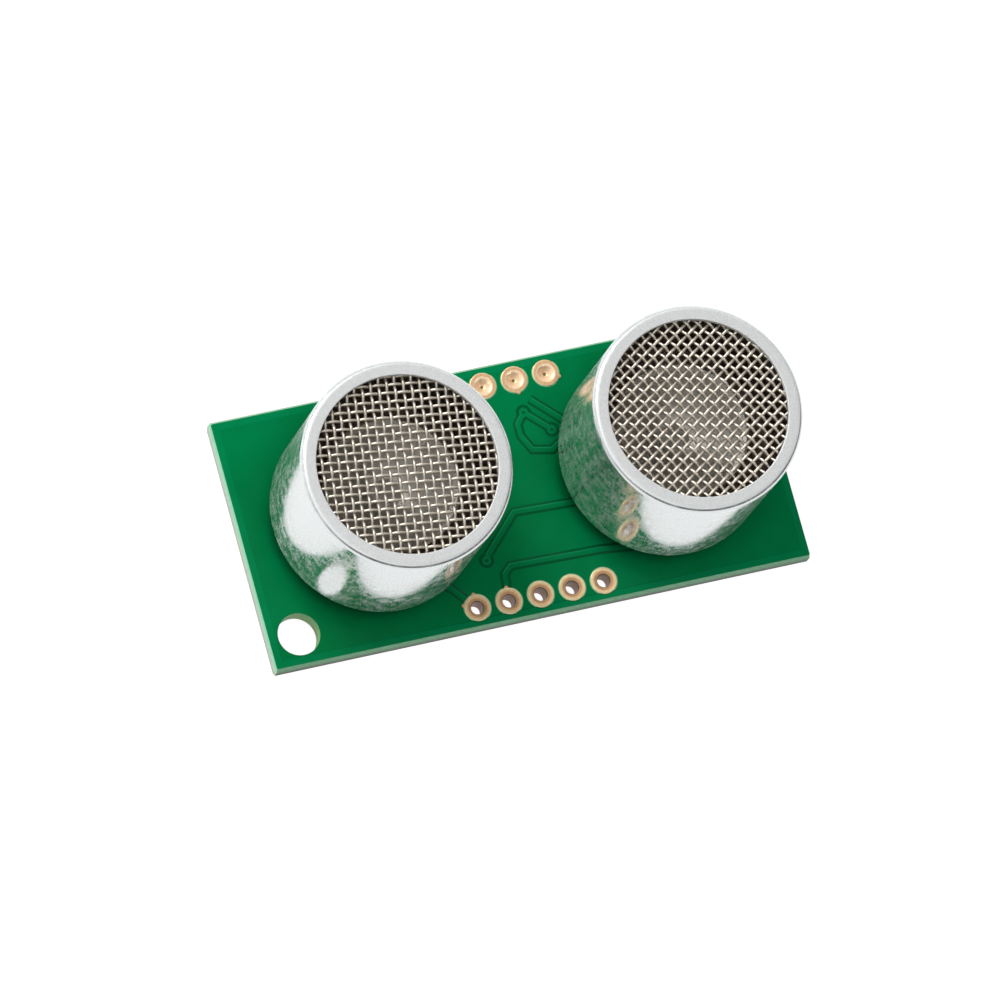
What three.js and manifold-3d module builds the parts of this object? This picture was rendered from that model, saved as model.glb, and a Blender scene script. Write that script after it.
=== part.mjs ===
// Ultrasonic distance sensor: an open 40 kHz transmitter and receiver on one small circuit board.
//
// Millimetres. X runs along the board, Y across it, and +Z is the way the sensor looks.
// The origin is under the board's centre, on the plane that the chips on its back rest on.

import * as THREE from "three";
import { mergeVertices } from "three/addons/utils/BufferGeometryUtils.js";
import Module from "manifold-3d";

const wasm = await Module();
wasm.setup();

// ---------------------------------------------------------------- driving dimensions

const TOUCH_GAP = 0.01; // kept between two pieces that touch
const CHIP_HEIGHT = 1.75; // the tallest part on the back, which carries the board

const BOARD = { length: 43, width: 20, thickness: 1.6, corner: 0.25 };
const BOARD_BACK = CHIP_HEIGHT;
const BOARD_FRONT = BOARD_BACK + BOARD.thickness;

const MOUNTING_HOLE = { radius: 1.6, x: 19.1, y: 7.5, sides: 24 }; // at (-x, -y) and (x, y)

const PAD_ROW = { pitch: 2.54, count: 5, y: 8.4 }; // header row at -y, programming row at +y
const PAD_SIDES = 12;
const FILLED_PAD_SIDES = 16;
const PAD = { land: 1.05, bore: 0.5, plating: 0.1, foil: 0.06 };
const TERMINAL_PAD = { land: 1.2, bore: 0.5, plating: 0.1, foil: 0.06 };
const DIMPLE = { radius: 0.85, depth: 0.35 }; // the sunken top of a filled programming pad

const CAN = { radius: 8.1, height: 12.2, wall: 0.3, opening: 6.94, lip: 0.35, fillet: 0.45 };
const CAN_SIDES = 48;
const CAN_STANDOFF = 2.6; // free height between the board and a can
const CAN_BASE = BOARD_FRONT + CAN_STANDOFF;

const TERMINAL = { radius: 0.35, spacing: 10, tail: 1.1, sides: 10 }; // tail: left behind the board
const BASE_DISC_THICKNESS = 2.2;

const WIRE = { diameter: 0.22, pitch: 0.635 }; // the woven screen's real wire and its pitch
const LATTICE_STEP = 2; // the lattice shows one wire in this many

const TRANSDUCERS = [
  { name: "transmitter", x: -11.5, y: 0.2, weaveDegrees: -7.35 },
  { name: "receiver", x: 11.5, y: -0.2, weaveDegrees: 32.7 },
];

// ---------------------------------------------------------------- materials

function material(colour, roughness, metalness) {
  return new THREE.MeshStandardMaterial({ color: colour, roughness, metalness });
}

const MATERIALS = {
  solderMask: material(0x0b7a3c, 0.3, 0),
  gold: material(0xd9b36c, 0.3, 1),
  aluminium: material(0xc9cbcd, 0.25, 1),
  steelWire: material(0xa8a39a, 0.35, 1),
  spunAluminium: material(0xd6d6d4, 0.3, 1),
  brassPlate: material(0xc2a45c, 0.35, 1),
  piezoCeramic: material(0xd8d2c0, 0.6, 0),
  silicone: material(0xe6e3dc, 0.7, 0),
  phenolic: material(0x2b2724, 0.6, 0),
  tinned: material(0xbfc1c2, 0.3, 1),
  solder: material(0xb4b7b9, 0.3, 1),
  moulding: material(0x191a1b, 0.5, 0),
  capacitorBody: material(0x9c7a52, 0.5, 0),
  resistorBody: material(0x1d1e22, 0.4, 0),
  resonatorBody: material(0xcfcab8, 0.5, 0),
  ledBody: material(0xe8e2b0, 0.3, 0),
};

// ---------------------------------------------------------------- geometry helpers

// A closed geometry as a solid that can be joined and cut, with its shared corners merged.
function solidOf(geometry) {
  const plain = new THREE.BufferGeometry();
  plain.setAttribute("position", geometry.getAttribute("position"));
  if (geometry.index) plain.setIndex(geometry.index);
  const merged = mergeVertices(plain, 1e-5);
  return new wasm.Manifold(
    new wasm.Mesh({
      numProp: 3,
      vertProperties: merged.attributes.position.array,
      triVerts: new Uint32Array(merged.index.array),
    }),
  );
}

function geometryOf(solid) {
  const { vertProperties, triVerts } = solid.getMesh();
  const geometry = new THREE.BufferGeometry();
  geometry.setAttribute("position", new THREE.BufferAttribute(vertProperties, 3));
  geometry.setIndex(new THREE.BufferAttribute(triVerts, 1));
  geometry.computeVertexNormals();
  return geometry;
}

function joined(geometries) {
  return geometryOf(geometries.map(solidOf).reduce((a, b) => a.add(b)));
}

// A box given by its size, its centre in X and Y, and its lowest Z.
function block(length, width, height, x = 0, y = 0, z = 0) {
  return new THREE.BoxGeometry(length, width, height).translate(x, y, z + height / 2);
}

function disc(radius, bottom, top, sides) {
  return new THREE.CylinderGeometry(radius, radius, top - bottom, sides)
    .rotateX(Math.PI / 2)
    .translate(0, 0, (top + bottom) / 2);
}

// A profile of [radius, height] pairs turned about Z.
function turned(profile, sides) {
  const points = profile.map(([radius, height]) => new THREE.Vector2(radius, height));
  return new THREE.LatheGeometry(points, sides).rotateX(Math.PI / 2);
}

function circlePoints(x, y, radius, sides) {
  return Array.from({ length: sides }, (_, i) => {
    const angle = (2 * Math.PI * i) / sides;
    return new THREE.Vector2(x + radius * Math.cos(angle), y + radius * Math.sin(angle));
  });
}

// A flat plate with round holes, each { x, y, radius, sides }.
function plate(outline, holes, thickness) {
  const shape = new THREE.Shape(outline);
  for (const hole of holes) {
    const points = circlePoints(hole.x, hole.y, hole.radius, hole.sides);
    shape.holes.push(new THREE.Path(points.reverse()));
  }
  return new THREE.ExtrudeGeometry(shape, { depth: thickness, bevelEnabled: false });
}

function mesh(name, geometry, mat) {
  const piece = new THREE.Mesh(geometry, mat);
  piece.name = name;
  return piece;
}

// ---------------------------------------------------------------- circuit board and its pads

function padRow(y) {
  return Array.from({ length: PAD_ROW.count }, (_, i) => ({
    x: (i - (PAD_ROW.count - 1) / 2) * PAD_ROW.pitch,
    y,
  }));
}

function terminalPlaces() {
  return TRANSDUCERS.flatMap(({ name, x, y }) =>
    [-1, 1].map((side, i) => ({
      name: `${name}_terminal_${i + 1}`,
      x: x + (side * TERMINAL.spacing) / 2,
      y,
    })),
  );
}

function boardHoles() {
  const open = [...padRow(-PAD_ROW.y), ...terminalPlaces()];
  const filled = padRow(PAD_ROW.y);
  const radius = PAD.bore + PAD.plating + TOUCH_GAP;
  const plated = (sides) => ({ x, y }) => ({ x, y, radius, sides });
  const mounting = [-1, 1].map((side) => ({
    x: side * MOUNTING_HOLE.x,
    y: side * MOUNTING_HOLE.y,
    radius: MOUNTING_HOLE.radius,
    sides: MOUNTING_HOLE.sides,
  }));
  return [...open.map(plated(PAD_SIDES)), ...filled.map(plated(FILLED_PAD_SIDES)), ...mounting];
}

function boardOutline() {
  const x = BOARD.length / 2;
  const y = BOARD.width / 2;
  const c = BOARD.corner;
  return [
    [x - c, -y], [x, c - y], [x, y - c], [x - c, y],
    [c - x, y], [-x, y - c], [-x, c - y], [c - x, -y],
  ].map(([px, py]) => new THREE.Vector2(px, py));
}

function makeBoard() {
  const geometry = plate(boardOutline(), boardHoles(), BOARD.thickness);
  const board = mesh("circuit_board", geometry, MATERIALS.solderMask);
  board.position.z = BOARD_BACK;
  return board;
}

// The outside of a plated hole: a land on each face and the barrel between them.
function padProfile({ land, bore, plating, foil }) {
  const back = BOARD_BACK - TOUCH_GAP;
  const front = BOARD_FRONT + TOUCH_GAP;
  const barrel = bore + plating;
  return [
    [land, back - foil], [land, back], [barrel, back],
    [barrel, front], [land, front], [land, front + foil],
  ];
}

function openPad(size) {
  const top = BOARD_FRONT + TOUCH_GAP + size.foil;
  const bottom = BOARD_BACK - TOUCH_GAP - size.foil;
  const outside = padProfile(size);
  return turned([[size.bore, bottom], ...outside, [size.bore, top], [size.bore, bottom]], PAD_SIDES);
}

// A programming pad's hole is filled with metal, and the fill has sunk to a dimple.
function filledPad() {
  const top = BOARD_FRONT + TOUCH_GAP + PAD.foil;
  const bottom = BOARD_BACK - TOUCH_GAP - PAD.foil;
  const outside = padProfile(PAD);
  const dimple = [[DIMPLE.radius, top], [0, top - DIMPLE.depth]];
  return turned([[0, bottom], ...outside, ...dimple], FILLED_PAD_SIDES);
}

function makePads() {
  const header = padRow(-PAD_ROW.y).map((place, i) => ({
    ...place, name: `header_pad_${i + 1}`, geometry: openPad(PAD),
  }));
  const programming = padRow(PAD_ROW.y).map((place, i) => ({
    ...place, name: `programming_pad_${i + 1}`, geometry: filledPad(),
  }));
  const terminal = terminalPlaces().map((place) => ({
    ...place, name: `${place.name}_pad`, geometry: openPad(TERMINAL_PAD),
  }));
  return [...header, ...programming, ...terminal].map(({ name, geometry, x, y }) => {
    const pad = mesh(name, geometry, MATERIALS.gold);
    pad.position.set(x, y, 0);
    return pad;
  });
}

// The cone of solder round each transducer terminal where it comes out behind the board.
function makeSolderJoints() {
  const foot = BOARD_BACK - TERMINAL_PAD.foil - 2 * TOUCH_GAP;
  const inner = TERMINAL.radius + TOUCH_GAP;
  const profile = [
    [inner, foot - 0.85], [0.48, foot - 0.8], [0.72, foot - 0.4],
    [1.1, foot], [inner, foot], [inner, foot - 0.85],
  ];
  return terminalPlaces().map(({ name, x, y }) => {
    const joint = mesh(`${name}_solder`, turned(profile, PAD_SIDES), MATERIALS.solder);
    joint.position.set(x, y, 0);
    return joint;
  });
}

// ---------------------------------------------------------------- transducers

// Heights in a transducer are counted from the lower edge of its can.
const RING = { inner: 3.4, outer: 4.4, height: 1.45, notch: 0.12 };
const RING_TOP = BASE_DISC_THICKNESS + TOUCH_GAP + RING.height;
const VIBRATOR = { radius: 4.9, thickness: 0.25 };
const VIBRATOR_TOP = RING_TOP + TOUCH_GAP + VIBRATOR.thickness;
const PIEZO = { radius: 3.25, thickness: 0.5 };
const CONE = { foot: 1.4, mouth: 5.25, height: 2.65, wall: 0.25 };
const SCREEN = { radius: 7.6, thickness: 2 * WIRE.diameter, hoop: 0.45 };
const TERMINAL_TOP = 3.1;

function canGeometry() {
  const { radius, height, wall, opening, lip, fillet } = CAN;
  const inner = radius - wall;
  const steps = 3;
  const rounded = Array.from({ length: steps + 1 }, (_, i) => {
    const angle = (i / steps) * (Math.PI / 2);
    return [
      radius - fillet + fillet * Math.cos(angle),
      height - fillet + fillet * Math.sin(angle),
    ];
  });
  return turned([
    [inner, 0], [radius, 0], ...rounded, [opening, height],
    [opening, height - lip], [inner, height - lip], [inner, 0],
  ], CAN_SIDES);
}

// The screen as a lattice of flat bars along the weave, in a hoop.
function screenGeometry(weaveDegrees) {
  const top = CAN.height - CAN.lip - TOUCH_GAP;
  const bottom = top - SCREEN.thickness;
  const spacing = WIRE.pitch * LATTICE_STEP;
  const reach = Math.floor(SCREEN.radius / spacing);
  const round = solidOf(disc(SCREEN.radius, bottom, top, CAN_SIDES));
  const window = solidOf(disc(SCREEN.radius - SCREEN.hoop, bottom - 1, top + 1, CAN_SIDES));
  const bars = [];
  for (let i = -reach; i <= reach; i++) {
    for (const turn of [0, Math.PI / 2]) {
      const bar = block(2 * SCREEN.radius, WIRE.diameter, SCREEN.thickness, 0, i * spacing, bottom);
      bars.push(bar.rotateZ(turn + THREE.MathUtils.degToRad(weaveDegrees)));
    }
  }
  const lattice = bars.map(solidOf).reduce((a, b) => a.add(b)).intersect(round);
  return geometryOf(lattice.add(round.subtract(window)));
}

function coneGeometry() {
  const foot = VIBRATOR_TOP + TOUCH_GAP;
  const { mouth, height, wall } = CONE;
  return turned([
    [0, foot], [CONE.foot, foot], [mouth, foot + height - wall / 2],
    [mouth - wall, foot + height], [CONE.foot - wall / 2, foot + wall], [0, foot + wall],
  ], 24);
}

// The silicone ring under the vibrator, with a notch that lets one lead out.
function ringGeometry() {
  const shape = new THREE.Shape();
  shape.absarc(0, 0, RING.outer, RING.notch, 2 * Math.PI - RING.notch, false);
  shape.absarc(0, 0, RING.inner, 2 * Math.PI - RING.notch, RING.notch, true);
  const options = { depth: RING.height, bevelEnabled: false, curveSegments: 10 };
  return new THREE.ExtrudeGeometry(shape, options).translate(
    0, 0, BASE_DISC_THICKNESS + TOUCH_GAP,
  );
}

function baseDiscGeometry() {
  const radius = CAN.radius - CAN.wall - 2 * TOUCH_GAP;
  const holes = [-1, 1].map((side) => ({
    x: (side * TERMINAL.spacing) / 2,
    y: 0,
    radius: TERMINAL.radius + TOUCH_GAP,
    sides: TERMINAL.sides,
  }));
  return plate(circlePoints(0, 0, radius, CAN_SIDES), holes, BASE_DISC_THICKNESS);
}

function leadGeometry(points) {
  const path = new THREE.CatmullRomCurve3(points.map((p) => new THREE.Vector3(...p)));
  const section = new THREE.Shape(circlePoints(0, 0, 0.1, 6));
  return new THREE.ExtrudeGeometry(section, { steps: 7, bevelEnabled: false, extrudePath: path });
}

function terminalGeometry() {
  const bottom = -(CAN_STANDOFF + BOARD.thickness + TERMINAL.tail);
  return disc(TERMINAL.radius, bottom, TERMINAL_TOP, TERMINAL.sides);
}

function makeTransducer({ name, x, y, weaveDegrees }) {
  const group = new THREE.Group();
  group.position.set(x, y, CAN_BASE);
  const piezoTop = RING_TOP;
  const piezoBottom = piezoTop - PIEZO.thickness;
  const leadHeight = piezoBottom - 0.12;
  const reach = TERMINAL.spacing / 2;
  // One lead runs under the piezo disc and through the ring's notch, the other off the plate's edge.
  const piezoLead = [
    [1.6, 0, leadHeight], [2.8, 0, leadHeight - 0.25],
    [3.8, 0, leadHeight - 0.25], [reach - TERMINAL.radius - 0.05, 0, leadHeight - 0.1],
  ];
  const plateLead = [
    [-4.1, 0, VIBRATOR_TOP + 0.12], [-4.8, 0, VIBRATOR_TOP + 0.16],
    [-5.2, 0, VIBRATOR_TOP - 0.15], [-5.05, 0, TERMINAL_TOP + 0.08],
  ];
  group.add(
    mesh(`${name}_can`, canGeometry(), MATERIALS.aluminium),
    mesh(`${name}_screen`, screenGeometry(weaveDegrees), MATERIALS.steelWire),
    mesh(`${name}_resonator_cone`, coneGeometry(), MATERIALS.spunAluminium),
    mesh(`${name}_vibrating_plate`,
      disc(VIBRATOR.radius, RING_TOP + TOUCH_GAP, VIBRATOR_TOP, 24), MATERIALS.brassPlate),
    mesh(`${name}_piezo_disc`, disc(PIEZO.radius, piezoBottom, piezoTop, 20),
      MATERIALS.piezoCeramic),
    mesh(`${name}_mounting_ring`, ringGeometry(), MATERIALS.silicone),
    mesh(`${name}_terminal_base`, baseDiscGeometry(), MATERIALS.phenolic),
    mesh(`${name}_lead_wire_1`, leadGeometry(plateLead), MATERIALS.tinned),
    mesh(`${name}_lead_wire_2`, leadGeometry(piezoLead), MATERIALS.tinned),
  );
  [-1, 1].forEach((side, i) => {
    const pin = mesh(`${name}_terminal_pin_${i + 1}`, terminalGeometry(), MATERIALS.tinned);
    pin.position.x = side * reach;
    group.add(pin);
  });
  return group;
}

// ---------------------------------------------------------------- parts on the back
// Each is drawn standing on a board at height 0, along X, and makeBackParts turns it over.

const LEAD = { width: 0.41, thickness: 0.2, shoulder: 0.95, pitch: 1.27 };
const MOULDING = { width: 3.9, standoff: 0.15, span: 6.0 };

// One lead frame bar across the package: foot, riser, shoulder, and the same on the other side.
function leadBar(halfSpan, halfBody, x) {
  const { width, thickness, shoulder } = LEAD;
  const ground = TOUCH_GAP;
  const knee = (halfSpan + halfBody) / 2 + 0.05;
  const half = [
    [knee + 0.2, ground], [halfSpan, ground], [halfSpan, ground + thickness],
    [knee + thickness + 0.1, ground + thickness], [knee + 0.15, shoulder],
  ];
  half.unshift([knee - 0.05, shoulder - thickness]);
  const otherHalf = half.map(([y, z]) => [-y, z]).reverse();
  const outline = [...half, ...otherHalf].map(([y, z]) => new THREE.Vector2(y, z));
  const bar = new THREE.ExtrudeGeometry(new THREE.Shape(outline), {
    depth: width, bevelEnabled: false,
  });
  // The outline's X and Y become Y and Z, and its depth runs along X.
  return bar.rotateX(Math.PI / 2).rotateZ(Math.PI / 2).translate(x - width / 2, 0, 0);
}

function packageGeometry(length, leadsPerSide) {
  const body = block(length, MOULDING.width, CHIP_HEIGHT - MOULDING.standoff, 0, 0, MOULDING.standoff);
  const bars = Array.from({ length: leadsPerSide }, (_, i) =>
    leadBar(MOULDING.span / 2, MOULDING.width / 2, (i - (leadsPerSide - 1) / 2) * LEAD.pitch),
  );
  return joined([body, ...bars]);
}

// A ceramic chip: its body and the raised metal bands across it, placed by their X.
function chipGeometry({ length, width, height }, bandLength, bandPlaces) {
  const lift = TOUCH_GAP;
  const skin = 0.03;
  const body = block(length - skin, width - 2 * skin, height - 2 * skin, 0, 0, lift + skin);
  const bands = bandPlaces.map((x) => block(bandLength, width, height, x, 0, lift));
  return joined([body, ...bands]);
}

function endBandedChip(size) {
  const band = 0.4;
  const place = (size.length - band) / 2;
  return chipGeometry(size, band, [-place, place]);
}

function transistorGeometry() {
  const body = block(2.9, 1.3, 0.95, 0, 0, 0.1);
  const feet = [[-0.95, 1], [0.95, 1], [0, -1]].map(([x, side]) =>
    joined([
      block(0.4, 0.4, 0.15, x, side * 1.0, TOUCH_GAP),
      block(0.4, 0.15, 0.55, x, side * 0.8, TOUCH_GAP),
      block(0.4, 0.5, 0.15, x, side * 0.63, 0.41 + TOUCH_GAP),
    ]),
  );
  return joined([body, ...feet]);
}

function ledGeometry() {
  const substrate = block(2.0, 1.25, 0.3, 0, 0, TOUCH_GAP);
  const lens = block(1.2, 1.25, 0.5, 0, 0, TOUCH_GAP + 0.3);
  return joined([substrate, lens]);
}

const CAPACITOR = { length: 2.0, width: 1.25, height: 0.85 };
const RESISTOR = { length: 2.0, width: 1.25, height: 0.55 };
const CLOCK = { length: 3.2, width: 1.3, height: 0.9 };

// Places are seen from the front of the board; turned parts lie along Y.
function backParts() {
  const capacitor = () => endBandedChip(CAPACITOR);
  const resistor = () => endBandedChip(RESISTOR);
  const { moulding, capacitorBody, resistorBody, resonatorBody, ledBody } = MATERIALS;
  const outer = TRANSDUCERS[1].x;
  return [
    ["driver_chip", packageGeometry(9.9, 8), moulding, -outer, 0, true],
    ["amplifier_chip", packageGeometry(8.65, 7), moulding, outer, 0, true],
    ["microcontroller_chip", packageGeometry(8.65, 7), moulding, 0, -0.6, false],
    ["clock_resonator", chipGeometry(CLOCK, 0.4, [-1.2, 0, 1.2]), resonatorBody, -3.2, 4.7, false],
    ["pull_up_transistor", transistorGeometry(), moulding, 0.9, 4.8, false],
    ["indicator_led", ledGeometry(), ledBody, 4.2, 4.7, true],
    ["charge_pump_capacitor_1", capacitor(), capacitorBody, -outer - 1.9, 6.8, false],
    ["charge_pump_capacitor_2", capacitor(), capacitorBody, -outer + 1.9, 6.8, false],
    ["charge_pump_capacitor_3", capacitor(), capacitorBody, -outer - 1.9, -6.8, false],
    ["charge_pump_capacitor_4", capacitor(), capacitorBody, -outer + 1.9, -6.8, false],
    ["supply_capacitor", capacitor(), capacitorBody, -3.3, -5.5, false],
    ["led_resistor", resistor(), resistorBody, 0, -5.5, false],
    ["bias_resistor", resistor(), resistorBody, 3.3, -5.5, false],
    ["coupling_capacitor_1", capacitor(), capacitorBody, outer - 1.9, 6.6, false],
    ["coupling_capacitor_2", capacitor(), capacitorBody, outer + 1.9, 6.6, false],
    ["gain_resistor_1", resistor(), resistorBody, outer - 1.9, -6.6, false],
    ["gain_resistor_2", resistor(), resistorBody, outer + 0.9, -6.6, false],
    ["gain_resistor_3", resistor(), resistorBody, outer + 3.7, -6.6, false],
    ["filter_capacitor", capacitor(), capacitorBody, outer + 7.1, -4.2, true],
  ];
}

function makeBackParts() {
  const group = new THREE.Group();
  group.position.z = BOARD_BACK;
  group.rotation.x = Math.PI;
  for (const [name, geometry, mat, x, y, turnedAcross] of backParts()) {
    const piece = mesh(name, geometry, mat);
    piece.position.set(x, -y, 0);
    if (turnedAcross) piece.rotation.z = Math.PI / 2;
    group.add(piece);
  }
  return group;
}

// ---------------------------------------------------------------- the sensor

const sensor = new THREE.Group();
sensor.name = "ultrasonic_distance_sensor";
sensor.add(makeBoard(), ...makePads(), ...makeSolderJoints());
sensor.add(...TRANSDUCERS.map(makeTransducer));
sensor.add(makeBackParts());

export default sensor;
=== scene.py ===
"""Looks of the ultrasonic distance sensor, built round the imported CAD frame.

Sizes below are millimetres, in the row's frame: X along the board, +Z the way the sensor looks.
Places come from the frame's own boxes; MM turns a size into Blender's metres.
"""

import math
import random

import bmesh
import bpy
from mathutils import Matrix, Quaternion, Vector


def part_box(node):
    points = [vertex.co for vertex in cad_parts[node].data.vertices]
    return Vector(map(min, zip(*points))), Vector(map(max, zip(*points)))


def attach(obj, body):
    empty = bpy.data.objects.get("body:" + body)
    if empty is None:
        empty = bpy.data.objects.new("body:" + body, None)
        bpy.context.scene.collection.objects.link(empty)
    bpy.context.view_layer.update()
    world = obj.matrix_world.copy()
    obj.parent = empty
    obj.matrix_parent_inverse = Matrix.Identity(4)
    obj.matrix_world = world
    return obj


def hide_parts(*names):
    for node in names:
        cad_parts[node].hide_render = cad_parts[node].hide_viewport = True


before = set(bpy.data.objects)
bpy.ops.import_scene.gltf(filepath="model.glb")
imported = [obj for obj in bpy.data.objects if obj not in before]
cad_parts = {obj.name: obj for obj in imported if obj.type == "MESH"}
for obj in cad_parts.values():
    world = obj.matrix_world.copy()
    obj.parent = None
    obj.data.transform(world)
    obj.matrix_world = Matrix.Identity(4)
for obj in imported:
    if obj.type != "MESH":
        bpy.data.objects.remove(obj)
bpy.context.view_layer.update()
MM = 0.001
rng = random.Random(40)

TRANSDUCERS = ("transmitter", "receiver")


# ---- places, from the frame

def box_mm(node):
    """A CAD node's lowest and highest corners in millimetres."""
    low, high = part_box(node)
    return low / MM, high / MM


def round_box(node):
    """(low, high, centre, radius) of a node that is round in plan, in millimetres."""
    low, high = box_mm(node)
    return low, high, (low + high) / 2, (high.x - low.x) / 2


BOARD_LOW, BOARD_HIGH = box_mm("circuit_board")  # BACK and FRONT are its faces' heights
BACK, FRONT = BOARD_LOW.z, BOARD_HIGH.z
HEADER_PADS = [f"header_pad_{i}" for i in range(1, 6)]
PROGRAMMING_PADS = [f"programming_pad_{i}" for i in range(1, 6)]
TERMINALS = [f"{t}_terminal_{i}" for t in TRANSDUCERS for i in (1, 2)]
TERMINAL_PADS = [f"{terminal}_pad" for terminal in TERMINALS]
MOUNTING_HOLES = [(-19.1, -7.5), (19.1, 7.5)]
MOUNTING_RADIUS = 1.64

# The copper tracks on the front, as the corners that they turn at.
TRACK_WIDTH = 0.42
TRACK_MOAT = 0.2  # bare laminate left on each side of a track
FRONT_TRACKS = [
    [(6.5, -1.95), (4.4, -1.9), (-0.3, -1.72), (-3.1, -4.5), (-3.4, -4.95)],
    [(11.6, -6.5), (8.6, -6.3), (5.5, -5.95), (-1.7, -5.75), (-2.3, -6.3), (-2.45, -7.4)],
    [(-8.6, -5.0), (-6.6, -6.6), (-5.8, -7.6)],
    [(2.55, 5.75), (1.85, 4.9), (1.85, 3.95), (2.45, 2.75), (3.95, 2.45), (4.9, 3.0), (6.6, 4.6)],
    [(2.55, 5.75), (4.35, 4.0)],
    [(3.3, 6.65), (3.55, 6.4), (5.35, 4.6), (6.9, 3.1)],
]
# The directions, in degrees, of the track starts that show at the edges of some pads.
PAD_STUBS = {
    "header_pad_1": (92, 160), "header_pad_2": (87,),
    "programming_pad_4": (-86,), "programming_pad_5": (-25,),
}
FRONT_VIAS = [(-3.4, -4.95), (2.55, 5.75), (4.35, 4.0)]
BACK_VIAS = [(2.55, 5.75), (-6.9, 2.3), (16.2, 3.9), (17.7, 3.1)]
# The tracks on the back, as the ends of each: from the chips to the small parts and the pads.
BACK_TRACKS = [
    (-8.1, 4.45, -8.3, 6.8), (-14.9, 4.45, -14.6, 6.8), (-8.1, -4.45, -8.3, -6.8),
    (-14.9, -4.45, -14.6, -6.8), (-12.3, 6.8, -10.7, 6.8), (-12.3, -6.8, -10.7, -6.8),
    (-14.9, 0.64, -15.8, 0.4), (-8.1, -0.64, -7.3, -0.2), (-8.1, 3.18, -3.81, 2.6),
    (-8.1, 1.9, -6.9, 2.3), (-8.1, -1.9, -3.81, -3.8), (-8.1, -3.18, -4.4, -5.5),
    (-2.54, 2.6, -3.2, 4.2), (-1.27, 2.6, -1.7, 4.2), (0, 2.6, -0.05, 3.7), (1.27, 2.6, 1.85, 3.7),
    (2.54, 2.6, 4.2, 3.8), (3.81, 2.6, 8.1, 2.54), (0.9, 5.9, 2.3, 7.5), (4.2, 5.7, 4.9, 7.4),
    (-5.0, -7.4, -4.4, -5.6), (-2.54, -7.4, -2.2, -5.6), (0, -7.4, -1.0, -5.6), (2.54, -7.4, 2.4, -5.6),
    (5.08, -7.4, 4.3, -5.6), (-2.54, -3.8, -2.3, -5.2), (-1.27, -3.8, -1.0, -5.2),
    (1.27, -3.8, 1.0, -5.2), (2.54, -3.8, 2.4, -5.2), (3.81, -3.8, 8.1, -2.54), (8.1, 3.81, 8.5, 6.6),
    (14.9, 3.81, 14.5, 6.6), (10.7, 6.6, 12.3, 6.6), (8.1, -3.81, 8.5, -6.6),
    (14.9, -3.81, 16.2, -6.4), (10.7, -6.6, 11.3, -6.6), (13.5, -6.6, 14.1, -6.6),
    (8.1, 0, 7.3, -0.1), (14.9, 0, 15.7, -0.1), (14.9, -2.54, 18.6, -3.1), (18.6, -5.3, 16.3, -6.5),
    (14.9, 1.27, 17.7, 3.1), (14.9, 2.54, 16.2, 3.9),
]


# ---- node helpers for materials

def new_material(name):
    mat = bpy.data.materials.new(name)
    mat.use_nodes = True
    nodes = mat.node_tree.nodes
    shader = next(n for n in nodes if n.type == "BSDF_PRINCIPLED")
    return mat, mat.node_tree, shader


def put(shader, **values):
    """Sets the shader's own sockets: base_color becomes 'Base Color', and so on."""
    names = {"ior": "IOR", "specular": "Specular IOR Level"}
    for key, value in values.items():
        socket = names.get(key, key.replace("_", " ").title())
        shader.inputs[socket].default_value = value


def coordinates(tree, stretch=(1, 1, 1)):
    """Object coordinates in millimetres, scaled by stretch."""
    source = tree.nodes.new("ShaderNodeTexCoord")
    mapping = tree.nodes.new("ShaderNodeMapping")
    mapping.inputs["Scale"].default_value = [s / MM for s in stretch]
    tree.links.new(source.outputs["Object"], mapping.inputs["Vector"])
    return mapping.outputs["Vector"]


def noise(tree, vector, scale, detail=3.0, roughness=0.55):
    """Noise with scale cells to the millimetre."""
    node = tree.nodes.new("ShaderNodeTexNoise")
    node.inputs["Scale"].default_value = scale
    node.inputs["Detail"].default_value = detail
    node.inputs["Roughness"].default_value = roughness
    tree.links.new(vector, node.inputs["Vector"])
    return node.outputs["Fac"]


def ramp(tree, factor, stops):
    """Maps a factor to colours, or to greys where a stop's value is a number."""
    node = tree.nodes.new("ShaderNodeValToRGB")
    elements = node.color_ramp.elements
    while len(elements) < len(stops):
        elements.new(0.5)
    for element, (place, value) in zip(elements, stops):
        element.position = place
        grey = isinstance(value, (int, float))
        element.color = (value, value, value, 1) if grey else (*value, 1)
    tree.links.new(factor, node.inputs["Fac"])
    return node.outputs["Color"]


def spread(tree, factor, low, high, start=0.0, end=1.0):
    """Maps a factor from start..end to low..high."""
    node = tree.nodes.new("ShaderNodeMapRange")
    node.inputs["From Min"].default_value = start
    node.inputs["From Max"].default_value = end
    node.inputs["To Min"].default_value = low
    node.inputs["To Max"].default_value = high
    tree.links.new(factor, node.inputs["Value"])
    return node.outputs["Result"]


def blend_colours(tree, factor, a, b, mode="MIX"):
    """Mixes a and b, each a socket or a colour."""
    node = tree.nodes.new("ShaderNodeMix")
    node.data_type = "RGBA"
    node.blend_type = mode
    colour_a, colour_b = node.inputs[6], node.inputs[7]
    for socket, value in ((node.inputs[0], factor), (colour_a, a), (colour_b, b)):
        if isinstance(value, bpy.types.NodeSocket):
            tree.links.new(value, socket)
        else:
            socket.default_value = value if isinstance(value, (int, float)) else (*value, 1)
    return node.outputs[2]


def bump(tree, shader, height, depth_mm, strength=1.0):
    node = tree.nodes.new("ShaderNodeBump")
    node.inputs["Strength"].default_value = strength
    node.inputs["Distance"].default_value = depth_mm * MM
    tree.links.new(height, node.inputs["Height"])
    tree.links.new(node.outputs["Normal"], shader.inputs["Normal"])


def link(tree, output, shader, name):
    tree.links.new(output, shader.inputs[name])


# ---- materials

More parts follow.
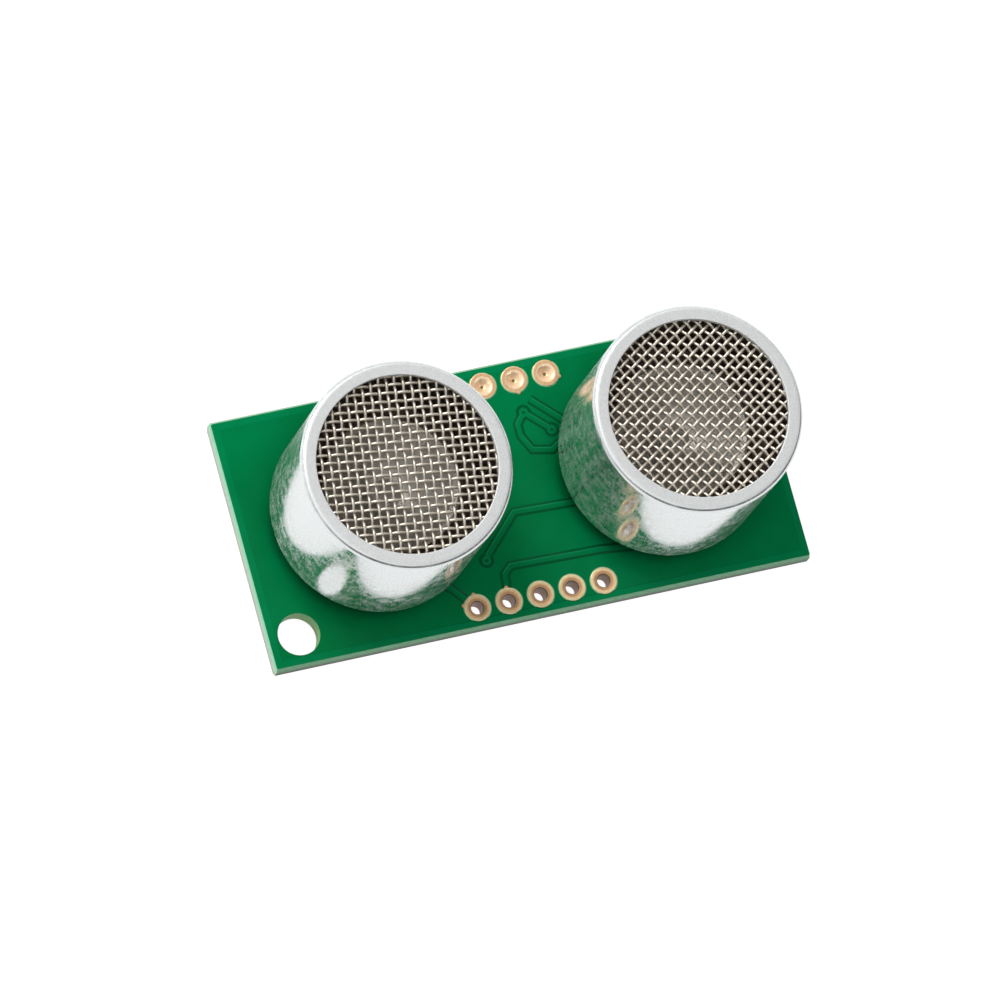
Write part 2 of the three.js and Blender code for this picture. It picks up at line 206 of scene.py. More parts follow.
# How far the painted shade under the cans reaches.
PAINTED_SHADE_REACH = 3.3
MASK_GREEN = (0.0003, 0.192, 0.06)
MASK_SHADE = (0.0003, 0.157, 0.043)
MOAT_GREEN = (0.0003, 0.095, 0.03)
# Painted light: the lighter green on the track flanks that face one side.
LIT_FLANK_GREEN = (0.008, 0.24, 0.095)


def painted_crevice_shade(tree):
    """Painted shade: a grey from ambient occlusion that darkens the colour where something stands close
    over the surface, as under the cans.
    """
    node = tree.nodes.new("ShaderNodeAmbientOcclusion")
    node.samples = 32
    node.inputs["Distance"].default_value = PAINTED_SHADE_REACH * MM
    return ramp(tree, node.outputs["AO"], [(0.66, 0.0), (0.72, 0.34), (0.76, 0.6), (0.79, 1.0)])


def mask_material(name, bright, shade):
    """Glossy solder mask: slow changes of tone, a faint weave of the glass cloth under it, and painted
    shade where something stands close over it, as under the cans.
    """
    mat, tree, shader = new_material(name)
    vector = coordinates(tree)
    tone = ramp(tree, noise(tree, vector, 0.16, 2.0), [(0.35, shade), (0.68, bright)])
    grain = ramp(tree, noise(tree, vector, 9.0, 2.0), [(0.3, 0.9), (0.7, 1.0)])
    colour = blend_colours(tree, 1.0, tone, grain, "MULTIPLY")
    # Painted shade under the cans, multiplied into the mask's colour.
    link(tree, blend_colours(tree, 1.0, colour, painted_crevice_shade(tree), "MULTIPLY"), shader, "Base Color")
    link(tree, spread(tree, noise(tree, vector, 2.5), 0.16, 0.3), shader, "Roughness")
    put(shader, ior=1.45, specular=0.04)
    bump(tree, shader, noise(tree, vector, 1.4, 4.0), 0.012, 0.2)
    return mat


def laminate_material(name, layers):
    """Cut glass-epoxy edge: layers of cloth seen on end, coloured from the back face to the front; on
    the broken edges the near-black lower layers are painted shade.
    """
    mat, tree, shader = new_material(name)
    source = tree.nodes.new("ShaderNodeTexCoord")
    split = tree.nodes.new("ShaderNodeSeparateXYZ")
    tree.links.new(source.outputs["Object"], split.inputs[0])
    depth = spread(tree, split.outputs["Z"], 0.0, 1.0, BACK * MM, FRONT * MM)
    tone = ramp(tree, depth, layers)
    vector = coordinates(tree, (1, 1, 9))
    cloth = ramp(tree, noise(tree, vector, 2.2, 3.0), [(0.3, 0.62), (0.7, 1.0)])
    link(tree, blend_colours(tree, 1.0, tone, cloth, "MULTIPLY"), shader, "Base Color")
    link(tree, spread(tree, noise(tree, vector, 3.0), 0.4, 0.75), shader, "Roughness")
    put(shader, ior=1.5, specular=0.4)
    bump(tree, shader, noise(tree, vector, 4.0, 4.0), 0.03, 0.5)
    return mat


def metal(name, dark, light, rough, scale, relief=0.004, strength=0.3, metallic=1.0):
    """A metal whose colour, roughness and relief follow one grain."""
    mat, tree, shader = new_material(name)
    grain = noise(tree, coordinates(tree), scale, 4.0, 0.6)
    link(tree, ramp(tree, grain, [(0.3, dark), (0.7, light)]), shader, "Base Color")
    link(tree, spread(tree, grain, rough[0], rough[1], 0.3, 0.7), shader, "Roughness")
    put(shader, metallic=metallic)
    bump(tree, shader, grain, relief, strength)
    return mat


def can_wall_material():
    """Drawn aluminium: a mirror under a thin haze, with fine draw marks along the can."""
    mat, tree, shader = new_material("can_wall")
    marks = noise(tree, coordinates(tree, (1, 1, 0.22)), 8.0, 3.0, 0.7)
    patches = noise(tree, coordinates(tree), 1.2, 4.0, 0.65)
    both = blend_colours(tree, 0.5, marks, patches)
    link(tree, ramp(tree, both, [(0.42, (0.68, 0.72, 0.72)), (0.58, (0.78, 0.8, 0.8))]),
         shader, "Base Color")
    link(tree, spread(tree, both, 0.08, 0.24, 0.42, 0.6), shader, "Roughness")
    link(tree, spread(tree, both, 0.98, 0.7, 0.42, 0.6), shader, "Metallic")
    bump(tree, shader, marks, 0.002, 0.25)
    return mat


def plastic(name, dark, light, rough, scale, relief=0.01, specular=0.5):
    mat, tree, shader = new_material(name)
    vector = coordinates(tree)
    grain = noise(tree, vector, scale, 4.0)
    link(tree, ramp(tree, grain, [(0.3, dark), (0.7, light)]), shader, "Base Color")
    link(tree, spread(tree, noise(tree, vector, scale * 0.4), *rough), shader, "Roughness")
    put(shader, specular=specular)
    bump(tree, shader, grain, relief, 0.4)
    return mat


MATERIALS = {
    "mask": mask_material("front_mask", MASK_GREEN, MASK_SHADE),
    "mask_edge": mask_material("bare_mask", (0.001, 0.215, 0.074), (0.001, 0.18, 0.058)),
    "moat": mask_material("mask_over_laminate", MOAT_GREEN, MOAT_GREEN),
    "flank": mask_material("mask_on_track_flank_painted_light", LIT_FLANK_GREEN, LIT_FLANK_GREEN),
    "laminate": laminate_material("sawn_laminate", [
        (0.0, (0.34, 0.36, 0.28)), (0.25, (0.5, 0.58, 0.45)), (0.45, (0.5, 0.66, 0.5)),
        (0.7, (0.4, 0.74, 0.52)), (1.0, (0.22, 0.66, 0.4)),
    ]),
    # The broken long edges darken to near black towards the back face: painted shade under the edge.
    "broken": laminate_material("broken_laminate_painted_shade", [
        (0.0, (0.02, 0.03, 0.015)), (0.3, (0.03, 0.05, 0.025)), (0.5, (0.07, 0.11, 0.06)),
        (0.7, (0.12, 0.23, 0.13)), (0.8, (0.24, 0.5, 0.3)), (1.0, (0.2, 0.48, 0.28)),
    ]),
    "drilled": laminate_material("drilled_laminate", [
        (0.0, (0.17, 0.28, 0.1)), (0.5, (0.22, 0.42, 0.14)), (1.0, (0.13, 0.48, 0.18)),
    ]),
    "gold": metal("gold_plate", (0.72, 0.4, 0.2), (0.92, 0.6, 0.32), (0.3, 0.45), 7.0, metallic=0.4),
    # Painted highlight: the paler gold on the land's rounded outer edge.
    "gold_edge_highlight": metal("gold_rim_painted_highlight", (0.8, 0.62, 0.32), (0.95, 0.8, 0.48), (0.3, 0.42), 6.0, metallic=0.4),
    # Painted shade: darker gold where the land turns down into the hole.
    "gold_mouth_painted_shade": metal("gold_mouth_painted_shade", (0.4, 0.22, 0.1), (0.6, 0.36, 0.18), (0.35, 0.5), 8.0, metallic=0.5),
    # Painted highlight: the dimple of a filled pad gets a paler gold than the land.
    "gold_bowl_painted_highlight": metal("gold_bowl_painted_highlight", (0.84, 0.55, 0.33), (0.96, 0.74, 0.5),
                       (0.28, 0.4), 4.0, strength=0.06, metallic=0.4),
    # Painted shade: the pinhole at the bottom of the dimple is painted dark brown.
    "pinhole": metal("pinhole_painted_shade", (0.3, 0.18, 0.06), (0.45, 0.28, 0.1),
                     (0.4, 0.6), 9.0, metallic=0.6),
    # Painted shade: the hole's plated wall is painted dark brown.
    "barrel": metal("barrel_painted_shade", (0.12, 0.06, 0.035), (0.2, 0.115, 0.07),
                    (0.35, 0.5), 6.0, metallic=0.9),
    "can_wall": can_wall_material(),
    "can_rim": metal("can_rim", (0.58, 0.59, 0.59), (0.8, 0.81, 0.81),
                     (0.42, 0.6), 12.0, relief=0.014, strength=0.6, metallic=0.55),
    "can_inside": metal("can_inside", (0.3, 0.26, 0.23), (0.5, 0.46, 0.42), (0.35, 0.5), 5.0),
    "wire": metal("screen_wire", (0.52, 0.47, 0.4), (0.74, 0.69, 0.6), (0.3, 0.42), 9.0, metallic=0.85),
    "cone": metal("cone_aluminium", (0.5, 0.47, 0.42), (0.7, 0.68, 0.64),
                  (0.3, 0.42), 1.5, metallic=0.9, strength=0.1),
    "plate": metal("vibrator_plate", (0.5, 0.4, 0.24), (0.7, 0.58, 0.36), (0.35, 0.5), 4.0),
    "tin": metal("tin_plate", (0.6, 0.6, 0.6), (0.84, 0.84, 0.83), (0.2, 0.4), 6.0),
    "solder": metal("solder", (0.52, 0.53, 0.54), (0.8, 0.81, 0.82), (0.15, 0.35), 3.0),
    "epoxy": plastic("chip_epoxy", (0.012, 0.012, 0.014), (0.028, 0.028, 0.032), (0.45, 0.62), 9.0),
    "base": plastic("base_moulding", (0.16, 0.12, 0.1), (0.26, 0.2, 0.17), (0.45, 0.7), 4.0),
    "silicone": plastic("silicone", (0.6, 0.57, 0.52), (0.75, 0.73, 0.68), (0.5, 0.7), 3.0),
    "piezo": plastic("piezo_ceramic", (0.5, 0.45, 0.36), (0.66, 0.61, 0.5), (0.5, 0.7), 5.0),
    "capacitor": plastic("capacitor_ceramic", (0.3, 0.19, 0.09), (0.42, 0.28, 0.15), (0.3, 0.5), 6.0),
    "resistor": plastic("resistor_glaze", (0.01, 0.011, 0.016), (0.02, 0.021, 0.028), (0.2, 0.35), 5.0),
    "alumina": plastic("alumina", (0.68, 0.67, 0.63), (0.8, 0.79, 0.76), (0.4, 0.6), 6.0),
    "lens": plastic("led_lens", (0.6, 0.56, 0.3), (0.78, 0.74, 0.48), (0.12, 0.25), 2.0),
}


# ---- mesh helpers

def make_piece(name, bm, materials, replaced, crease_degrees=35.0):
    """A piece from a bmesh in millimetres, smooth but for edges sharper than the crease.

    It rides on the board's body and stands for the CAD nodes in replaced.
    """
    bmesh.ops.scale(bm, vec=(MM, MM, MM), verts=bm.verts)
    bmesh.ops.recalc_face_normals(bm, faces=bm.faces)
    limit = math.radians(crease_degrees)
    for face in bm.faces:
        face.smooth = True
    for edge in bm.edges:
        edge.smooth = len(edge.link_faces) == 2 and edge.calc_face_angle(0.0) < limit
    mesh = bpy.data.meshes.new(name)
    bm.to_mesh(mesh)
    bm.free()
    for key in materials:
        mesh.materials.append(MATERIALS[key])
    obj = bpy.data.objects.new(name, mesh)
    bpy.context.scene.collection.objects.link(obj)
    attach(obj, "root")
    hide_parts(*replaced)


def arc(centre, radius, start, end, steps):
    """Points of an arc in a profile, from start to end degrees."""
    angles = [math.radians(start + (end - start) * i / steps) for i in range(steps + 1)]
    return [(centre[0] + radius * math.cos(a), centre[1] + radius * math.sin(a)) for a in angles]


def hold(a, b, margin=0.06):
    """Extra points near the ends of a long straight run, so that it shades as straight."""
    length = math.dist(a, b)
    if length < 6 * margin:
        return []
    share = margin / length
    return [tuple(p + (q - p) * t for p, q in zip(a, b)) for t in (share, 1 - share)]


def add_lathe(bm, profile, centre, sides, bands=()):
    """Turns (radius, height) points about Z at centre; bands gives (first, last, material)."""
    held, marks = [], []
    for i, (a, b) in enumerate(zip(profile, profile[1:])):
        material = next((m for first, last, m in bands if first <= i <= last), 0)
        run = [a, *hold(a, b)]
        held += run
        marks += [material] * len(run)
    profile = [*held, profile[-1]]
    rings = []
    for radius, height in profile:
        if radius < 1e-6:
            rings.append([bm.verts.new((centre[0], centre[1], height))] * sides)
            continue
        turn = [2 * math.pi * i / sides for i in range(sides)]
        rings.append([
            bm.verts.new((centre[0] + radius * math.cos(a), centre[1] + radius * math.sin(a), height))
            for a in turn
        ])
    for material, lower, upper in zip(marks, rings, rings[1:]):
        for i in range(sides):
            j = (i + 1) % sides
            corners = [lower[i], lower[j], upper[j], upper[i]]
            corners = [v for k, v in enumerate(corners) if v not in corners[:k]]
            bm.faces.new(corners).material_index = material


def bridge(bm, rings, material=0, capped=False):
    """Side faces between rings of vertices, and a face on each end ring if capped."""
    faces = []
    for lower, upper in zip(rings, rings[1:]):
        for i in range(len(lower)):
            j = (i + 1) % len(lower)
            faces.append(bm.faces.new((lower[i], lower[j], upper[j], upper[i])))
    if capped:
        faces += [bm.faces.new(rings[0]), bm.faces.new(reversed(rings[-1]))]
    for face in faces:
        face.material_index = material


def add_walls(bm, levels, material=0):
    """Side faces between outlines with the same number of points, at their heights."""
    bridge(bm, [[bm.verts.new((x, y, z)) for x, y in outline] for outline, z in levels], material)


def closed(profile):
    return [*profile, profile[0]]


def weld(bm):
    bmesh.ops.remove_doubles(bm, verts=bm.verts, dist=1e-5)


def make_turned(name, profile, centre, sides, materials, replaced, bands=()):
    bm = bmesh.new()
    add_lathe(bm, profile, centre, sides, bands)
    weld(bm)
    make_piece(name, bm, materials, replaced)


def add_tube(bm, points, radius, sides):
    """A round tube with flat ends along points, with its section kept from twisting."""
    points = [Vector(p) for p in points]
    side = (points[1] - points[0]).orthogonal().normalized()
    angles = [2 * math.pi * k / sides for k in range(sides)]
    rings = []
    for i, point in enumerate(points):
        ahead = points[min(i + 1, len(points) - 1)] - points[max(i - 1, 0)]
        ahead.normalize()
        side = (side - ahead * side.dot(ahead)).normalized()
        other = ahead.cross(side)
        rings.append([
            bm.verts.new(point + radius * (math.cos(a) * side + math.sin(a) * other))
            for a in angles
        ])
    bridge(bm, rings, capped=True)


def add_box(bm, middle, half, heights, bevel, material=0, segments=2):
    """A rounded box from its middle and half sizes in plan, and its lowest and highest z."""
    low_z, high_z = heights
    made = bmesh.ops.create_cube(bm, size=2.0)["verts"]
    bmesh.ops.scale(bm, vec=(*half, (high_z - low_z) / 2), verts=made)
    bmesh.ops.translate(bm, vec=(*middle, (low_z + high_z) / 2), verts=made)
    edges = list({e for v in made for e in v.link_edges})
    made = bmesh.ops.bevel(bm, geom=edges, offset=bevel, segments=segments,
                           affect="EDGES", profile=0.5, clamp_overlap=True)["verts"]
    for face in {f for v in made for f in v.link_faces}:
        face.material_index = material


def circle(x, y, radius, sides):
    angles = [2 * math.pi * i / sides for i in range(sides)]
    return [(x + radius * math.cos(a), y + radius * math.sin(a)) for a in angles]


def rectangle(low, high, inset, corner, last_corner=None):
    """A rectangle's outline with rounded corners; last_corner is the radius at its highest x and y."""
    x0, y0 = low[0] + inset[0], low[1] + inset[1]
    x1, y1 = high[0] - inset[0], high[1] - inset[1]
    last = last_corner or corner
    centres = [(x1 - last, y1 - last, last, 0), (x0 + corner, y1 - corner, corner, 90),
               (x0 + corner, y0 + corner, corner, 180), (x1 - corner, y0 + corner, corner, 270)]
    return [p for x, y, r, a in centres for p in arc((x, y), r, a, a + 90, 5)]


def flat_shape(outlines, height):
    """A bmesh of the area that outlines bound, inner ones being holes, at a height."""
    curve = bpy.data.curves.new("outline", "CURVE")
    curve.dimensions = "2D"
    curve.fill_mode = "BOTH"
    for outline in outlines:
        spline = curve.splines.new("POLY")
        spline.points.add(len(outline) - 1)
        spline.use_cyclic_u = True
        for point, (x, y) in zip(spline.points, outline):
            point.co = (x, y, 0, 1)
    holder = bpy.data.objects.new("outline", curve)
    mesh = bpy.data.meshes.new_from_object(holder)
    bm = bmesh.new()
    bm.from_mesh(mesh)
    weld(bm)
    bmesh.ops.translate(bm, vec=(0, 0, height), verts=bm.verts)
    bpy.data.objects.remove(holder)
    bpy.data.curves.remove(curve)
    bpy.data.meshes.remove(mesh)
    return bm


# ---- circuit board

SCORE = 0.2  # the scored and broken long edges slope in by this much
SCORE_DEPTH = 0.42
SAWN = 0.04  # the sawn short edges, by this much
POUR_GAP = 0.42  # the copper pour stops this far inside the mask's border
POUR_STEP = 0.006
CORNER = 0.12
BROKEN_CORNER = 0.9  # the corner that the panel's tab tore away from is rounder
DRILLED_SHARE = 0.58  # a plated hole is drilled at this share of its land's radius
SKIN = 0.02  # the laminate's faces lie this far under the mask's
MASK_PULLBACK = 0.06  # laminate left bare round a land
VIA_LAND = 0.36  # a via under the mask is a small raised ring with a dimple


def board_holes():
    """Every hole through the board, as (x, y, radius)."""
    drilled = round_box(HEADER_PADS[0])[3] * DRILLED_SHARE
    centres = [round_box(n)[2] for n in HEADER_PADS + PROGRAMMING_PADS + TERMINAL_PADS]
    holes = [(c.x, c.y, drilled) for c in centres]
    return holes + [(x, y, MOUNTING_RADIUS) for x, y in MOUNTING_HOLES]


def board_outline(inset_x, inset_y):
    return rectangle(BOARD_LOW, BOARD_HIGH, (inset_x, inset_y), CORNER, BROKEN_CORNER)


def make_board():
    """The laminate: flat faces under the mask, sloping scored edges, and drilled walls."""
    holes = [circle(x, y, r, 64 if r > 1 else 28) for x, y, r in board_holes()]
    face_outline = board_outline(SAWN, SCORE)
    middle = board_outline(0.0, 0.0)
    bm = bmesh.new()
    bottom, top = BACK + SKIN, FRONT - SKIN
    for height, flip in ((top, False), (bottom, True)):
        sheet = flat_shape([face_outline, *holes], height)
        if flip:
            bmesh.ops.reverse_faces(sheet, faces=sheet.faces)
        mesh = bpy.data.meshes.new("sheet")
        sheet.to_mesh(mesh)
        sheet.free()
        bm.from_mesh(mesh)
        bpy.data.meshes.remove(mesh)
    add_walls(bm, [(face_outline, bottom), (middle, BACK + SCORE_DEPTH),
                   (middle, FRONT - SCORE_DEPTH), (face_outline, top)])
    bm.normal_update()
    for face in bm.faces:
        across, upright = abs(face.normal.y) > abs(face.normal.x), abs(face.normal.z) < 0.9
        face.material_index = int(across and upright)
    for hole in holes:
        add_walls(bm, [(hole, bottom), (hole, top)], 2)
    weld(bm)
    make_piece("board_laminate", bm, ["laminate", "broken", "drilled"],
               ["circuit_board"], 15)


def make_mask(name, face_z, inner_z):
    """A sheet of solder mask over one face, open at the lands and holes, paler at its border."""
    step = POUR_STEP if face_z > inner_z else -POUR_STEP
    outer = board_outline(SAWN, SCORE)
    pour = [board_outline(SAWN + POUR_GAP + i, SCORE + POUR_GAP + i) for i in (0, 0.1)]
    cuts = [circle(x, y, r, 64 if r > 1.3 else 40) for x, y, r in mask_openings()]
    bm = flat_shape([pour[1], *cuts], face_z)
    border = face_z - step
    add_walls(bm, [(pour[1], face_z), (pour[0], border), (outer, border), (outer, inner_z)], 1)
    for cut in cuts:
        add_walls(bm, [(cut, inner_z), (cut, face_z)], 0)
    weld(bm)
    make_piece(name, bm, ["mask", "mask_edge"], ["circuit_board"], 4)


def mask_openings():
    """Every opening in the mask, as (x, y, radius)."""
    pads = [round_box(n) for n in HEADER_PADS + PROGRAMMING_PADS + TERMINAL_PADS]
    openings = [(centre.x, centre.y, radius + MASK_PULLBACK) for _, _, centre, radius in pads]
    return openings + [(x, y, MOUNTING_RADIUS) for x, y in MOUNTING_HOLES]


def offset_path(points, distance):
    """The path's two sides at a distance, with mitred turns."""
    points = [Vector(p) for p in points]
    left, right = [], []
    for i, point in enumerate(points):
        before = (point - points[i - 1]).normalized() if i else None
        after = (points[i + 1] - point).normalized() if i < len(points) - 1 else None
        one, two = before or after, after or before
        along = (one + two).normalized()
        normal = Vector((-along.y, along.x))
        reach = distance / max(0.5, normal.dot(Vector((-one.y, one.x))))
        left.append(point + normal * reach)
        right.append(point - normal * reach)
    return left, right


def add_ribbon(bm, points, width, bottom, top, slope=0.0, material=0):
    """A raised strip along a path, narrower at its top by slope on each side."""
    outer = offset_path(points, width / 2)
    inner = offset_path(points, width / 2 - slope)
    rows = [
        [bm.verts.new((*p, bottom)) for p in outer[0]],
        [bm.verts.new((*p, top)) for p in inner[0]],
        [bm.verts.new((*p, top)) for p in inner[1]],
        [bm.verts.new((*p, bottom)) for p in outer[1]],
    ]
    for a, b in zip(rows, rows[1:]):
        for i in range(len(a) - 1):
            bm.faces.new((a[i], a[i + 1], b[i + 1], b[i])).material_index = material


def bent(x0, y0, x1, y1):
    """A track's corners: along the longer way first, and then at 45 degrees to its end."""
    dx, dy = x1 - x0, y1 - y0
    if abs(dx) > abs(dy):
        turn = (x1 - math.copysign(dy, dx), y0)
    else:
        turn = (x0, y1 - math.copysign(dx, dy))
    ends = [(x0, y0), (x1, y1)]
    if min(math.dist(turn, end) for end in ends) > 0.05:
        ends.insert(1, turn)
    return ends


def stop_at_vias(path, vias):
    """The path with its ends at vias drawn back to the edge of the via's land."""
    path = [Vector(p) for p in path]
    for end, inner in ((0, 1), (-1, -2)):
        if tuple(round(c, 3) for c in path[end]) in vias:
            path[end] += (path[inner] - path[end]).normalized() * (VIA_LAND - 0.1)
    return path


def make_tracks(name, paths, vias, face_z, out):
    """Tracks and vias under the mask: a dark moat of bare laminate with the raised copper in it, and a
    lighter green painted as light on the copper's flanks that face -Y on the front, +Y on the back.
    """
    bm = bmesh.new()
    root, low, high = (face_z + out * rise for rise in (-0.01, 0.003, 0.016))
    step = 0.001 * out
    for path in paths:
        add_ribbon(bm, path, TRACK_WIDTH + 2 * TRACK_MOAT, root, low, 0.02, 1)
        add_ribbon(bm, stop_at_vias(path, vias), TRACK_WIDTH, face_z, high, 0.09, 0)
    for via in vias:
        moat = [(VIA_LAND + 0.26, root), (VIA_LAND + 0.24, low + step), (0, low + step)]
        add_lathe(bm, moat, via, 32, [(0, 1, 1)])
        top = high + 2 * step
        land = [(VIA_LAND, low), (VIA_LAND - 0.05, top), (0.2, top), (0.13, low + 2 * step)]
        add_lathe(bm, land, via, 32)
    bm.normal_update()
    # The flanks that face -Y on the front, +Y on the back, get the lighter green: painted light.
    for face in bm.faces:
        if face.material_index == 0 and face.normal.y * out < -0.05:
            face.material_index = 2
    make_piece(name, bm, ["mask", "moat", "flank"], ["circuit_board"], 60)


# ---- pads

DIMPLE_SHARE = 0.74  # of the land's radius
DIMPLE_DEPTH = 0.46


def make_open_pad(node):
    """A plated through hole: rounded lands on both faces and a barrel that flares into them."""
    low, high, _, land = round_box(node)
    bore = land * 0.48
    r = 0.06
    front = [(land, high.z - r), *arc((land - r, high.z - r), r, 0, 90, 4)[1:], (land - 0.2, high.z),
             (bore + 0.24, high.z), (bore + 0.2, high.z - 0.02),
             *arc((bore + 0.09, high.z - 0.11), 0.09, 90, 180, 5)]
    back = [(x, low.z + high.z - z) for x, z in front]
    count = len(front)
    bands = [(0, 4, 1), (6, count - 5, 3), (count - 4, count + 1, 2)]
    profile = closed([*front, *reversed(back)])
    make_land(node, profile, ["gold", "gold_edge_highlight", "barrel", "gold_mouth_painted_shade"], bands)


def make_filled_pad(node):
    """A filled programming pad: a land whose middle sinks to a smooth dimple."""
    low, high, _, land = round_box(node)
    r = 0.06
    steps = 12
    dimple = [
        (DIMPLE_SHARE * land * (1 - i / steps),
         high.z - DIMPLE_DEPTH * (1 - math.cos(math.pi * i / steps)) / 2)
        for i in range(steps + 1)
    ]
    dimple[-2:] = [(0.17, dimple[-2][1]), (0.13, dimple[-1][1] - 0.06), (0, dimple[-1][1] - 0.1)]
    profile = [(0, low.z), (land, low.z), (land, high.z - r),
               *arc((land - r, high.z - r), r, 0, 90, 4)[1:], *dimple]
    last = len(profile) - 1
    bands = [(1, 5, 1), (7, last - 4, 3), (last - 3, last, 2)]
    make_land(node, profile, ["gold", "gold_edge_highlight", "pinhole", "gold_bowl_painted_highlight"], bands)


def make_land(node, profile, materials, bands):
    """A pad's turned land with the starts of its tracks."""
    bm = bmesh.new()
    add_lathe(bm, profile, round_box(node)[2], 56, bands)
    add_stubs(bm, node)
    weld(bm)
    make_piece(f"{node}_land", bm, materials, [node])


def add_stubs(bm, node):
    """The bare starts of the tracks that leave a land."""
    _, high, centre, land = round_box(node)
    for degrees in PAD_STUBS.get(node, ()):
        angle = math.radians(degrees)
        along = Vector((math.cos(angle), math.sin(angle), 0))
        across = Vector((-along.y, along.x, 0))
        start = Vector((centre.x, centre.y, 0)) + along * (land - 0.12)
        outline = [(0, 0.2), (0.16, 0.17), (0.27, 0.1), (0.3, 0)]
        outline += [(x, -y) for x, y in reversed(outline[:-1])]
        lower, upper = [], []
        for x, y in outline:
            lower.append(bm.verts.new(start + along * x + across * y + Vector((0, 0, FRONT - 0.01))))
            tip = start + along * x * 0.9 + across * y * 0.8
            upper.append(bm.verts.new(tip + Vector((0, 0, high.z - 0.015))))
        bridge(bm, [lower, upper], capped=True)


def make_pads():
    for node in HEADER_PADS + TERMINAL_PADS:
        make_open_pad(node)
    for node in PROGRAMMING_PADS:
        make_filled_pad(node)


# ---- transducers

WIRE_DIAMETER = 0.24
WIRE_PITCH = 0.635
WIRE_CRIMP = (0.09, 0.13)  # the warp stays nearly straight, and the weft bends round it
WEAVE_DEGREES = {"transmitter": -7.35, "receiver": 32.7}


def make_can(name):
    low, high, centre, radius = round_box(f"{name}_can")
    wall, opening, lip, fillet = 0.3, radius - 1.16, 0.35, 0.45
    edge = 0.06
    inner = radius - wall
    outside = [(inner + 0.1, low.z), (radius - edge, low.z),
               *arc((radius - edge, low.z + edge), edge, -90, 0, 3)[1:],
               *arc((radius - fillet, high.z - fillet), fillet, 0, 90, 14)]
    rim_from = len(outside) - 5
    hem = arc((opening + edge, high.z - edge), edge, 90, 180, 4)
    inside = [(opening, high.z - lip + 0.02), (opening + 0.02, high.z - lip),
              (inner - 0.3, high.z - lip), (inner, high.z - lip - 0.3), (inner, low.z + 0.1)]
    rim_to = len(outside) + len(hem)
    profile = closed([*outside, *hem, *inside])
    make_turned(f"{name}_can_shell", profile, centre, 192, ["can_wall", "can_rim", "can_inside"],
                [f"{name}_can"],
                [(rim_from, rim_to, 1), (rim_to + 1, len(profile) - 2, 2)])


def make_screen(name):
    """Plain-woven wire cloth: every wire rises over one and dips under the next."""
    _, high, centre, radius = round_box(f"{name}_screen")
    seat = Vector((centre.x, centre.y, high.z - WIRE_CRIMP[1] - WIRE_DIAMETER / 2))
    reach = radius - 0.05
    count = int(reach / WIRE_PITCH)
    steps_per_pitch = 5
    bm = bmesh.new()
    for across in (0, 1):
        turn = Matrix.Rotation(math.radians(WEAVE_DEGREES[name] + 90 * across), 3, "Z")
        for i in range(-count, count + 1):
            offset = i * WIRE_PITCH
            half = math.sqrt(reach**2 - offset**2)
            steps = max(2, round(2 * half / WIRE_PITCH * steps_per_pitch))
            sway = 0.03 * rng.uniform(-1, 1)
            points = []
            for k in range(steps + 1):
                s = -half + 2 * half * k / steps
                rise = math.cos(math.pi * s / WIRE_PITCH) * (-1) ** (i + across)
                drift = sway * math.sin(s * 0.35 + i)
                points.append(turn @ Vector((s, offset + drift, WIRE_CRIMP[across] * rise)) + seat)
            add_tube(bm, points, WIRE_DIAMETER / 2, 8)
    make_piece(f"{name}_wire_cloth", bm, ["wire"], [f"{name}_screen"], 60)


def make_cone(name):
    """The spun resonator: a thin flared cone on a flat foot, with a rolled mouth."""
    low, high, centre, mouth = round_box(f"{name}_resonator_cone")
    foot, wall = 1.3, 0.2
    height = high.z - low.z
    steps = 10
    under = [
        (foot + (mouth - foot) * t, low.z + (height - 0.1) * t**1.25)
        for t in (i / steps for i in range(steps + 1))
    ]
    over = [(max(r - wall * 0.7, 0.9), z + wall) for r, z in under]
    over[-1] = (mouth - wall, high.z)
    profile = [(0, low.z), *under, *reversed(over), (0, low.z + wall + 0.02)]
    make_turned(f"{name}_cone", profile, centre, 96, ["cone"], [f"{name}_resonator_cone"])


def make_disc(node, piece, material):
    """A flat disc with rounded edges."""
    low, high, centre, radius = round_box(node)
    edge = 0.05
    flat = radius - edge
    profile = [(0, low.z), (flat, low.z), *arc((flat, low.z + edge), edge, -90, 0, 3),
               *arc((flat, high.z - edge), edge, 0, 90, 3), (0, high.z)]
    make_turned(piece, profile, centre, 96, [material], [node])


def make_ring(name):
    """The silicone ring, round-edged, with the notch that a lead leaves through."""
    low, high = box_mm(f"{name}_mounting_ring")
    centre = (low + high) / 2
    outer = (high.y - low.y) / 2
    inner = outer - 1.0
    notch = 0.12
    sides = 80
    edge = 0.15
    corners = [(outer - edge, low.z + edge, -90), (outer - edge, high.z - edge, 0),
               (inner + edge, high.z - edge, 90), (inner + edge, low.z + edge, 180)]
    section = [p for r, z, start in corners for p in arc((r, z), edge, start, start + 90, 3)]
    bm = bmesh.new()
    rings = []
    for i in range(sides + 1):
        a = notch + (2 * math.pi - 2 * notch) * i / sides
        rings.append([
            bm.verts.new((centre.x + r * math.cos(a), centre.y + r * math.sin(a), z))
            for r, z in section
        ])
    bridge(bm, rings, capped=True)
    make_piece(f"{name}_silicone_ring", bm, ["silicone"], [f"{name}_mounting_ring"])


